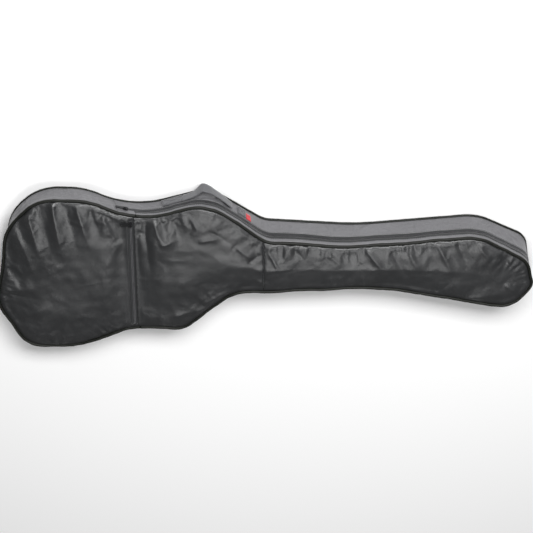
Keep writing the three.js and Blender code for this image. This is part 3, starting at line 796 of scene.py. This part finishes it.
def filled(polygon, spacing):
    """Points and triangles that fill a polygon evenly."""
    low, high = polygon.min(0), polygon.max(0)
    rows = np.arange(low[1], high[1], spacing * 0.866)
    inner = []
    for k, y in enumerate(rows):
        xs = np.arange(low[0] + (k % 2) * spacing / 2, high[0], spacing)
        inner.append(np.stack([xs, np.full(len(xs), y)], 1))
    inner = np.concatenate(inner)
    inner = inner[inside_polygon(inner, polygon)]
    clear = np.ones(len(inner), bool)
    for p in polygon:
        clear &= ((inner - p) ** 2).sum(1) > (0.6 * spacing) ** 2
    everything = np.concatenate([polygon, inner[clear]])
    vertices, _, triangles, *_ = delaunay_2d_cdt(
        [Vector(p) for p in everything], [], [list(range(len(polygon)))], 0, 1e-7, False)
    points = np.array([list(v) for v in vertices])
    triangles = np.array([list(f) for f in triangles])
    kept = inside_polygon(points[triangles].mean(1), polygon)
    return points, triangles[kept].tolist()


def panel_polygon(outline, x_from, x_to, spacing):
    points = keep_beyond(list(outline), lambda p: p[0] - x_from)
    points = keep_beyond(points, lambda p: x_to - p[0])
    return split_long(without_crowding(points, spacing * 0.35), spacing)


def notched(polygon, edge_x, notch_x):
    """The pocket panel reaches past both ends of its zip and is cut back beside it."""
    points = []
    for i, here in enumerate(polygon):
        following = polygon[(i + 1) % len(polygon)]
        points.append(here)
        if abs(here[0] - edge_x) < 1e-6 and abs(following[0] - edge_x) < 1e-6:
            top, bottom = POCKET_ZIP_FAR + GAP, POCKET_ZIP_NEAR - GAP
            notch = [(edge_x, top), (notch_x, top), (notch_x, bottom), (edge_x, bottom)]
            points += [np.array(p) for p in (notch if here[1] > following[1] else notch[::-1])]
    return points


def finish_piece(piece, body, cad_node):
    """The piece moves with a body, or, at the fold between the bag and its lid, keeps its transform
    baked in and is left without a body.
    """
    if body == "fold":
        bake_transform(piece)
    else:
        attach(piece, body)
    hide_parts(cad_node)


def add_layer(name, cad_node, body, polygon, spacing, height_at, thickness, material, slot, way=UP):
    """A sewn-in sheet that fills the polygon, its outer face at the given height. Its UV map is the flat
    sheet that it was cut from."""
    flat, faces = filled(polygon, spacing)
    points = np.c_[flat, height_at(flat[:, 0], flat[:, 1])]
    piece = thicken(face_towards(new_piece(name, points, faces, material, flat), way), thickness)
    finish_piece(piece, body, cad_node)


BUTT_X = -0.630
HEAD_X = 0.630
POCKET_PANEL_TO = POCKET_ZIP_X - ZIP_CLOTH_EDGE
BODY_PANEL_FROM = POCKET_ZIP_X + ZIP_CLOTH_EDGE
PADDING_FROM = FOLD_X + 0.012     # the padding stops short of the fold
FRONT_SPACING = 0.0034            # between the points of the front cloth


def add_front():
    outline = list(inset_outline(PANEL_EDGE))
    pocket = keep_beyond(outline, lambda p: BODY_PANEL_FROM - GAP - p[0])
    pocket = notched(pocket, BODY_PANEL_FROM - GAP, POCKET_PANEL_TO)
    pocket = split_long(without_crowding(pocket, FRONT_SPACING * 0.3), FRONT_SPACING)
    body = panel_polygon(outline, BODY_PANEL_FROM, NECK_SEAM_X - GAP, FRONT_SPACING)
    neck = panel_polygon(outline, NECK_SEAM_X + GAP, HEAD_X, FRONT_SPACING)
    specs = [
        ("front_pocket_cloth", "pocket_panel", "bag", pocket),
        ("front_body_cloth", "front_body_panel", "fold", body),
        ("front_neck_cloth", "front_neck_panel", "lid", neck),
    ]
    for spec in specs:
        add_layer(*spec, FRONT_SPACING, front_height, SKIN, front_cloth, "front_cloth")


# ---- what lies under the front ----------------------------------------------------------

LAYER_SPACING = 0.010             # between the points of the hidden layers
LINING_SPACING = 0.009
POCKET_DEPTH = 0.014
LAYER_SAG = 0.0006


def under_padding(x, y):
    return padding_height(x, y) - FOAM - GAP


def add_front_layers():
    polygon = panel_polygon(inset_outline(PANEL_EDGE + SKIN), PADDING_FROM, HEAD_X, LAYER_SPACING)
    add_layer(
        "front_pad", "front_padding", "fold", polygon, LAYER_SPACING, padding_height, FOAM, foam,
        "padding_foam")
    polygon = panel_polygon(inset_outline(0.008), FOLD_X + GAP, HEAD_X, LINING_SPACING)
    add_layer(
        "front_lining_cloth", "front_lining", "fold", polygon, LINING_SPACING, under_padding, LINING,
        lining_cloth, "lining_cloth")


def add_tail_layers():
    """The pocket's back, the padding and the lining under it, a little uneven as cloth is."""
    inset, edge = PANEL_EDGE + SKIN, FOLD_X - GAP
    polygon = panel_polygon(inset_outline(inset), BUTT_X, edge, LAYER_SPACING)
    top = PIPING_RADIUS - SKIN - POCKET_DEPTH
    pad_top = top - SKIN - GAP
    lining_top = pad_top - FOAM - GAP
    layers = [
        ("pocket_back_cloth", "pocket_back_panel", top, SKIN, lining_cloth, "lining_cloth"),
        ("tail_pad", "tail_padding", pad_top, FOAM, foam, "padding_foam"),
        ("tail_lining_cloth", "tail_lining", lining_top, LINING, lining_cloth, "lining_cloth"),
    ]
    for name, cad_node, height, *rest in layers:
        def layer_height(x, y):
            distance, _ = edge_of(x, y)
            held = smooth(distance - inset, 0, 0.02) * smooth(edge - x, 0, 0.01)
            return plane(x) + height - LAYER_SAG * held * (1 + uneven(x, y, 0.07, 21)) / 2

        add_layer(name, cad_node, "bag", polygon, LAYER_SPACING, layer_height, *rest)


# ---- the walls --------------------------------------------------------------------------

STRIP_TO = 0.013
TAPE_WIDTH = 0.0054
COIL_WIDTH = 0.0025
FRONT_TAPE_FROM = STRIP_TO + GAP
FRONT_COIL_FROM = FRONT_TAPE_FROM + TAPE_WIDTH + GAP
REAR_COIL_FROM = FRONT_COIL_FROM + COIL_WIDTH + 2 * GAP
REAR_TAPE_FROM = REAR_COIL_FROM + COIL_WIDTH + GAP
REAR_WALL_FROM = REAR_TAPE_FROM + TAPE_WIDTH + GAP
TAPE_THICKNESS = 0.001
WALL_WAVE = 0.0022                # the wall's cloth moves at most this much in or out
PAD_CLEARANCE = 0.0030            # from the wall's inner face to the padding


def wall_band(name, places, down_from, down_to, out, thickness, material, columns, crumple=0, seed=1):
    """A band of the wall. A down_to of zero or less is measured back from the rear piping, and
    out is how far the band's outer face stands out of the wall's own."""
    height = wall_height(places)[:, None]
    share = np.linspace(0, 1, columns)[None]
    end = height + down_to if down_to <= 0 else np.full_like(height, down_to)
    downs = down_from + (end - down_from) * share
    reach = arc_length(places)[:, None] + 0 * downs
    calm = np.sin(math.pi * share) ** 0.7
    soft = uneven(reach, downs, 0.075, seed, 1.3)
    sharp = creases(reach, downs, 0.050, seed + 1, 0.8) - 0.4
    fine = uneven(reach, downs, 0.016, seed + 2)
    wave = crumple * calm * (0.9 * soft + 1.5 * sharp + 0.35 * fine)
    outs = out + WALL_WAVE * np.tanh(wave / WALL_WAVE)
    points = wall_points(places, downs, outs)
    faces = grid_faces(len(places), columns)
    piece = new_piece(name, points, faces, material, np.stack([reach, downs], -1))
    return thicken(face_towards(piece, at(line.front_normal, places[:1] + 0.5)[0]), thickness)


def add_walls():
    butt, main, lid = round_butt(ZIP_START_X - GAP), round_head(ZIP_START_X), round_head(FOLD_X + GAP)
    specs = [
        ("butt_wall_cloth", "butt_wall", "bag", butt, PANEL_EDGE, -PANEL_EDGE, 20, 0.0020, 31),
        ("main_wall_cloth", "main_wall", "bag", main, REAR_WALL_FROM, -PANEL_EDGE, 16, 0.0021, 41),
        ("front_strip_cloth", "front_wall_strip", "lid", lid, PANEL_EDGE, STRIP_TO, 5, 0.0003, 51),
    ]
    for name, cad_node, body, places, start, end, *surface in specs:
        piece = wall_band(name, places, start, end, SKIN, SKIN, wall_cloth_painted_lit, *surface)
        finish_piece(piece, body, cad_node)
    whole = np.append(ALL_ROUND, COUNT)
    pad = wall_band(
        "wall_pad", whole[::3], REAR_WALL_FROM, -PANEL_EDGE, -PAD_CLEARANCE, FOAM, foam, 6, 0.0001, 61)
    finish_piece(pad, "bag", "wall_padding")
    lining_out = -PAD_CLEARANCE - GAP - FOAM
    lining = wall_band(
        "wall_lining_cloth", whole[::2], REAR_WALL_FROM, -PANEL_EDGE, lining_out, LINING, lining_cloth,
        9, 0.0003, 71)
    finish_piece(lining, "bag", "wall_lining")


def add_piping():
    def radii(places, seed):
        return PIPING_RADIUS * (0.97 + 0.03 * uneven(arc_length(places), 0, 0.03, seed))

    for name, cad_node, places, body in [
        ("butt_piping_cord", "butt_front_piping", round_butt(FOLD_X - GAP), "bag"),
        ("front_piping_cord", "front_piping", round_head(FOLD_X + GAP), "lid"),
    ]:
        cord = tube(name, at(line.front, places), radii(places, 81), piping_vinyl)
        finish_piece(cord, body, cad_node)
    rear_radii = np.minimum(radii(ALL_ROUND, 82), PIPING_RADIUS)
    rear = tube("rear_piping_cord", at(line.rear, ALL_ROUND), rear_radii, piping_vinyl, closed=True)
    finish_piece(rear, "bag", "rear_piping")


# ---- the back ---------------------------------------------------------------------------

BACK_WRINKLES = 0.0004
BACK_HIGHEST = 0.0001             # how far the back's cloth rises into the bag at most


def add_back():
    rear_outline = (line.rear[:, :2], line.rear_normal[:, :2])
    layers = [
        ("back_cloth", "back_panel", PANEL_EDGE, 0.006, 0.0046, SKIN, back_cloth, "front_cloth"),
        ("back_pad", "back_padding", 0.011, 0.012, 0.0061, FOAM, foam, "padding_foam"),
        ("back_lining_cloth", "back_lining", 0.011, 0.009, 0.0114, LINING, lining_cloth, "lining_cloth"),
    ]
    for name, cad_node, inset, spacing, bottom, *rest in layers:
        def back_height(x, y):
            wrinkles = BACK_WRINKLES * uneven(x, y, 0.06, 91) * (name != "back_pad")
            return bottom + (np.minimum(wrinkles, BACK_HIGHEST) if name == "back_cloth" else wrinkles)

        polygon = panel_polygon(inset_outline(inset, *rear_outline), BUTT_X, HEAD_X, spacing)
        add_layer(name, cad_node, "bag", polygon, spacing, back_height, *rest, way=DOWN)


# ---- the main zip -----------------------------------------------------------------------


def wall_line(places, down, out):
    size = (len(places), 1)
    return wall_points(places, np.full(size, down), np.full(size, out))[:, 0]


COIL_PITCH = 0.0022
COIL_RADII = (0.0008, 0.0013)     # of one turn, along the zip and out of it
COIL_OUT = 0.0005


def coil(name, places, down_from):
    """One side of a zip: a row of short turns across a strip of the wall."""
    reach = arc_length(places)
    spaced = np.interp(np.arange(reach[0], reach[-1], COIL_PITCH), reach, places)
    ends = [wall_line(spaced, down, COIL_OUT) for down in (down_from, down_from + COIL_WIDTH)]
    return spindles(name, *ends, out_normal(spaced), COIL_RADII, coil_nylon)


def add_main_zip():
    rear, front = round_head(ZIP_START_X), round_head(FOLD_X + GAP)
    sides = [
        ("front", front, FRONT_TAPE_FROM, FRONT_COIL_FROM, "lid"),
        ("rear", rear, REAR_TAPE_FROM, REAR_COIL_FROM, "bag"),
    ]
    for side, places, tape_from, coil_from, body in sides:
        tape = wall_band(
            f"{side}_zip_tape", places, tape_from, tape_from + TAPE_WIDTH, TAPE_THICKNESS,
            TAPE_THICKNESS, tape_cloth, 4)
        finish_piece(tape, body, f"zip_{side}_tape")
        turns = coil(f"{side}_zip_coil", places, coil_from)
        finish_piece(turns, body, f"zip_{side}_coil")
    rows = [
        ("front_strip_stitches", front, STRIP_TO - 0.0012, SKIN + 0.0002, "lid"),
        ("front_tape_stitches", front, FRONT_TAPE_FROM + 0.0012, TAPE_THICKNESS, "lid"),
        ("rear_tape_stitches", rear, REAR_WALL_FROM - 0.0015, TAPE_THICKNESS, "bag"),
        ("main_wall_stitches", rear, REAR_WALL_FROM + 0.0012, SKIN + 0.0001, "bag"),
    ]
    for name, places, down, out, body in rows:
        sew(name, body, wall_line(places, down, out), out_normal(places))
    ends = {
        "handle_side": run((ZIP_START_X, "handle"), (FOLD_X - GAP, "handle")),
        "far_side": run((FOLD_X - GAP, "far"), (ZIP_START_X, "far")),
    }
    for side, places in ends.items():
        tab = wall_band(
            f"zip_end_cloth_{side}", places, PANEL_EDGE, REAR_COIL_FROM - GAP, SKIN, SKIN, wall_cloth_painted_lit,
            8, 0.0002, 101)
        finish_piece(tab, "bag", f"zip_end_tab_{side}")


# ---- the pocket's zip -------------------------------------------------------------------


POCKET_TAPE_BASE = PIPING_RADIUS - SKIN       # above the piping's centre plane
POCKET_TAPE_TOP = POCKET_TAPE_BASE + TAPE_THICKNESS
TAPE_SEAM = 0.0035                # from the tape's inner edge to its stitches
COIL_END = 0.001                  # from the coil's last turn to the end of the tape
SEAM_END = 0.003
STITCH_LIFT = 0.0001
NECK_SEAM_ENDS = (-0.052, 0.088)


def pocket_tape(name, x_from, x_to):
    """A closed strip of tape across the front."""
    ys = np.linspace(POCKET_ZIP_NEAR, POCKET_ZIP_FAR, 90)
    x, y = np.meshgrid(np.linspace(x_from, x_to, 4), ys)
    level = plane(POCKET_ZIP_X) + 0.00015 * uneven(x, y, 0.03, 111)
    outer, inner = (np.stack([x, y, level + z], -1) for z in (POCKET_TAPE_TOP, POCKET_TAPE_BASE))
    return slab(name, outer, inner, np.stack([y, x], -1), UP, tape_cloth, smooth_shaded=False)


def line_across(x, ys, height):
    return np.stack(np.broadcast_arrays(x, ys, height), 1)


def sew_across(name, body, x, y_from, y_to, count, height=None):
    """A row of stitches across the front, on its cloth where no height is given."""
    ys = np.linspace(y_from, y_to, count)
    if height is None:
        height = front_height(np.full(count, x), ys)
    sew(name, body, line_across(x, ys, height + STITCH_LIFT), UP)


def add_pocket_zip():
    near, far, level = POCKET_ZIP_NEAR, POCKET_ZIP_FAR, plane(POCKET_ZIP_X)
    ys = np.arange(near + COIL_END, far - COIL_END, COIL_PITCH)
    coil_level = level + POCKET_TAPE_BASE + TAPE_THICKNESS / 2
    tape_from = GAP / 2 + COIL_WIDTH + GAP
    for side, sign in (("left", -1), ("right", 1)):
        inner = POCKET_ZIP_X + sign * tape_from
        outer = FOLD_X - GAP if sign > 0 else inner - TAPE_WIDTH
        tape = pocket_tape(f"pocket_tape_{side}", min(inner, outer), max(inner, outer))
        finish_piece(tape, "bag", f"pocket_zip_{side}_tape")
        shift = COIL_PITCH / 2 if sign > 0 else 0
        starts, ends = (
            line_across(POCKET_ZIP_X + sign * x, ys + shift, coil_level)
            for x in (GAP / 2, GAP / 2 + COIL_WIDTH))
        turns = spindles(f"pocket_coil_{side}", starts, ends, UP, COIL_RADII, coil_nylon)
        finish_piece(turns, "bag", f"pocket_zip_{side}_coil")
        seam = inner + sign * TAPE_SEAM
        sew_across(f"pocket_tape_stitches_{side}", "bag", seam, near, far, 60, level + POCKET_TAPE_TOP)
    for name, x, body in (
        ("pocket_panel_stitches", POCKET_PANEL_TO - 0.0028, "bag"),
        ("pocket_hem_stitches", POCKET_PANEL_TO - 0.0098, "bag"),
        ("fold_stitches", FOLD_X + 0.016, "lid"),
    ):
        sew_across(name, body, x, near + SEAM_END, far - SEAM_END, 80)


def add_neck_seam():
    """Two rows of stitches, on either side of the neck seam."""
    for name, x in (("neck_seam_stitches_body", -0.0062), ("neck_seam_stitches_neck", 0.0022)):
        sew_across(name, "lid", NECK_SEAM_X + x, *NECK_SEAM_ENDS, 70)


# ---- the handle and the label -----------------------------------------------------------

WEBBING = 0.0015
HANDLE_DOWN = 0.0315              # from the front piping to the strap's upper edge
HANDLE_WIDTH = 0.025
HANDLE_MIDDLE_X = -0.130
HANDLE_TOP = plane(HANDLE_MIDDLE_X) - HANDLE_DOWN
HANDLE_PEAK_X = -0.137
HANDLE_LEAN = 0.0062              # how far the lower edge leans out at the peak
HANDLE_NORMAL = (0.174, 0.985, 0)
HANDLE_BENDS = (0.1500, 0.1670)   # along the normal: where the strap would bend; add_handle works out these two points but does not use them
PATCH_OUT = SKIN + 0.0024 + WEBBING            # the outer face of a sewn end
HANDLE_PATCHES = {"butt": (-0.222, -0.180), "neck": (-0.062, -0.044)}
LABEL_X = (-0.0425, -0.0315)
LABEL_DOWN = (0.031, 0.050)

# The strap's inner face, as (x, y), from one sewn end to the other.
HANDLE_PATH = [
    (-0.1870, 0.1840), (-0.1700, 0.1905), (-0.1560, 0.1972), (-0.1480, 0.2030),
    (-0.1425, 0.2078), (-0.1395, 0.2096), (-0.1360, 0.2090), (-0.1290, 0.2068), (-0.1200, 0.2034),
    (-0.1000, 0.1888), (-0.0740, 0.1640),
]


SPAN_STEPS = 6


def curve_through(points):
    """A smooth line through the points (Catmull-Rom)."""
    p = np.array([2 * np.array(points[0]) - points[1], *points, 2 * np.array(points[-1]) - points[-2]])
    weights = spline_weights(np.arange(SPAN_STEPS) / SPAN_STEPS).T
    spans = [weights @ p[i - 1:i + 3] for i in range(1, len(p) - 2)]
    return np.concatenate([*spans, p[-2:-1]])


def handle_strap(inner, outward, lean):
    """The strap that stands across the wall, with soft edges, from the path of its inner face."""
    share = np.linspace(0, 1, 7)
    edge = 0.25 * WEBBING * (np.abs(share - 0.5) > 0.45)
    z = HANDLE_TOP - HANDLE_WIDTH * share

    def face(offset):
        out = offset[None, :] + lean[:, None] * share[None]
        flat = inner[:, None] + outward[:, None] * out[..., None]
        return np.concatenate([flat, np.broadcast_to(z[None, :, None], (*out.shape, 1))], 2)

    cut = np.stack(np.broadcast_arrays(reach_along(inner)[:, None], -z[None]), -1)
    return slab("handle_webbing", face(WEBBING - edge), face(edge), cut, (*outward[0], 0), webbing)


def add_handle():
    path = curve_through(HANDLE_PATH)
    ahead = unit(np.gradient(path, axis=0))
    outward = np.stack([-ahead[:, 1], ahead[:, 0]], 1)
    bow = np.exp(-(((path[:, 0] - HANDLE_PEAK_X) / 0.016) ** 2))
    strap = handle_strap(path, outward, HANDLE_LEAN * bow)
    start, end = (Vector(HANDLE_NORMAL).normalized() * reach for reach in HANDLE_BENDS)
    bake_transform(strap)
    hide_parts("handle_strap", "handle_butt_leg", "handle_neck_leg")
    for end, (x_from, x_to) in HANDLE_PATCHES.items():
        places = run((x_from, "handle"), (x_to, "handle"))
        patch = wall_band(
            f"handle_{end}_patch", places, HANDLE_DOWN, HANDLE_DOWN + HANDLE_WIDTH, PATCH_OUT, WEBBING,
            webbing, 7)
        finish_piece(patch, "bag", f"handle_{end}_anchor")
        box_stitches(f"handle_{end}_stitches", places, PATCH_OUT + STITCH_LIFT)
    places = run((LABEL_X[0], "handle"), (LABEL_X[1], "handle"), finer=3)
    label = wall_band("side_label_cloth", places, *LABEL_DOWN, SKIN + 0.0028, 0.0008, label_cloth, 6)
    finish_piece(label, "bag", "side_label")


def box_stitches(name, places, out):
    """A sewn box with a cross in it."""
    inset = 0.0028
    first, last = places[0] + inset / STEP, places[-1] - inset / STEP
    low, high = HANDLE_DOWN + inset, HANDLE_DOWN + HANDLE_WIDTH - inset
    corners = [(first, low), (last, low), (last, high), (first, high), (first, low), (last, high)]
    corners = np.array([*corners, (last, low), (first, high)])
    share = np.linspace(0, 1, 24)[None, :, None]
    spots = (corners[:-1, None] + np.diff(corners, axis=0)[:, None] * share).reshape(-1, 2)
    stations, downs = spots[:, 0], spots[:, 1:]
    path = wall_points(stations, downs, np.full(downs.shape, out))[:, 0]
    sew(name, "bag", path, out_normal(stations), 0.0034, 0.0026, 0.0004)


# ---- the back straps --------------------------------------------------------------------


STRAP_MIDDLE = (-0.322, 0.077)
STRAP_TURN = 0.146                # the two straps come nearer to each other towards the head
STRAP_HALF_LENGTH = 0.195
STRAP_HALF_WIDTH = 0.015
STRAP_BOTTOM = 0.0015
STRAP_EDGE = 0.0003               # how much thinner a strap is along its edges, on either face
STRAP_PATCH_AT = 0.173
STRAP_PATCH_BOTTOM = 0.0033
STRAP_PATCH = 0.001


def centred_grid(half_length, half_width, rows, columns):
    u = np.linspace(-half_length, half_length, rows)
    return np.meshgrid(u, np.linspace(-half_width, half_width, columns), indexing="ij")


def add_straps():
    u, v = centred_grid(STRAP_HALF_LENGTH, STRAP_HALF_WIDTH, 130, 7)
    edge = STRAP_EDGE * (np.abs(v) > 0.99 * STRAP_HALF_WIDTH)
    for side, sign in (("handle_side", 1), ("far_side", -1)):
        x, y = STRAP_MIDDLE
        turned = Matrix.Translation((x, sign * y, 0)) @ Matrix.Rotation(-sign * STRAP_TURN, 4, "Z")
        ripple = 0.00025 * uneven(u, v * 0, 0.05, 121 + sign)
        ripple = ripple * smooth(STRAP_HALF_LENGTH - np.abs(u), 0.03, 0.06)
        under = STRAP_BOTTOM + np.clip(ripple, -0.0002, 0.0002) + edge
        faces = [np.stack([u, v, z], -1) for z in (under + WEBBING - 2 * edge, under)]
        strap = slab(f"back_strap_{side}", *faces, np.stack([u, v], -1), UP, webbing)
        strap.matrix_world = turned
        finish_piece(strap, "bag", f"strap_webbing_{side}")
        for end, direction in (("neck", 1), ("butt", -1)):
            add_strap_patch(f"strap_{end}_patch", side, direction * STRAP_PATCH_AT, turned)


def add_strap_patch(kind, side, x, turned):
    """A cloth patch over the strap's end."""
    u, v = centred_grid(0.022, 0.019, 12, 11)
    levels = (STRAP_PATCH_BOTTOM + STRAP_PATCH, STRAP_PATCH_BOTTOM)
    faces = [np.stack(np.broadcast_arrays(u + x, v, z), -1) for z in levels]
    patch = slab(
        f"{kind}_cloth_{side}", *faces, np.stack([u, v], -1), UP, back_cloth, smooth_shaded=False)
    patch.matrix_world = turned
    finish_piece(patch, "bag", f"{kind}_{side}")


# ---- the hard parts kept from the CAD ---------------------------------------------------

SHARP_ANGLE = math.radians(40)    # an edge that turns more than this gets rounded


def refine(cad_node, material, width):
    """A CAD node whose shape is right gets rounded edges and its own finish."""
    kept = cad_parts[cad_node]
    kept.data.materials.clear()
    kept.data.materials.append(material)
    bevel = kept.modifiers.new("edges", "BEVEL")
    bevel.width = width
    bevel.segments = 2
    bevel.limit_method = "ANGLE"
    bevel.angle_limit = SHARP_ANGLE


def add_hard_parts():
    for cad_node in ("main_zip_slider", "main_zip_pull", "pocket_zip_slider", "pocket_zip_pull"):
        refine(cad_node, enamel, 0.00025)
    for end in ("handle_side", "far_side"):
        refine(f"pocket_zip_stop_{end}", hard_plastic, 0.0004)
        refine(f"strap_adjuster_{end}", hard_plastic, 0.0004)


# ---- the studio -------------------------------------------------------------------------


FLOOR_HALF = 8.0
WORLD_STRENGTH = 0.09
# Each light's name, place, size and power. They all point at the origin.
LIGHTS = [
    ("key", (0.5, 2.48, 2.27), (2.6, 1.0), 148),
    ("overhead", (0.0, -0.35, 3.0), (1.1, 0.7), 34),
]


def add_area_light(name, place, size, power):
    data = bpy.data.lights.new(name, "AREA")
    data.shape = "RECTANGLE"
    data.size, data.size_y = size
    data.energy = power
    light = bpy.data.objects.new(name, data)
    bpy.context.scene.collection.objects.link(light)
    light.location = place
    light.rotation_mode = "QUATERNION"
    light.rotation_quaternion = Vector(place).to_track_quat("Z", "Y")


def add_studio():
    corners = [(x * FLOOR_HALF, y * FLOOR_HALF, 0) for x, y in ((-1, -1), (1, -1), (1, 1), (-1, 1))]
    material, _, _ = shader("floor", (0.92, 0.92, 0.92), 0.9, Specular_IOR_Level=0.1)
    floor = new_piece("floor", corners, [[0, 1, 2, 3]], material)
    world = bpy.data.worlds.new("studio")
    bpy.context.scene.world = world
    world.use_nodes = True
    background = world.node_tree.nodes["Background"]
    background.inputs["Color"].default_value = (1, 1, 1, 1)
    background.inputs["Strength"].default_value = WORLD_STRENGTH
    for light in LIGHTS:
        add_area_light(*light)
    bpy.context.scene.view_settings.view_transform = "Standard"


easing = eased_cloth()
add_front()
add_front_layers()
add_tail_layers()
add_walls()
add_piping()
add_back()
add_main_zip()
add_pocket_zip()
add_neck_seam()
add_handle()
add_straps()
add_hard_parts()
add_studio()
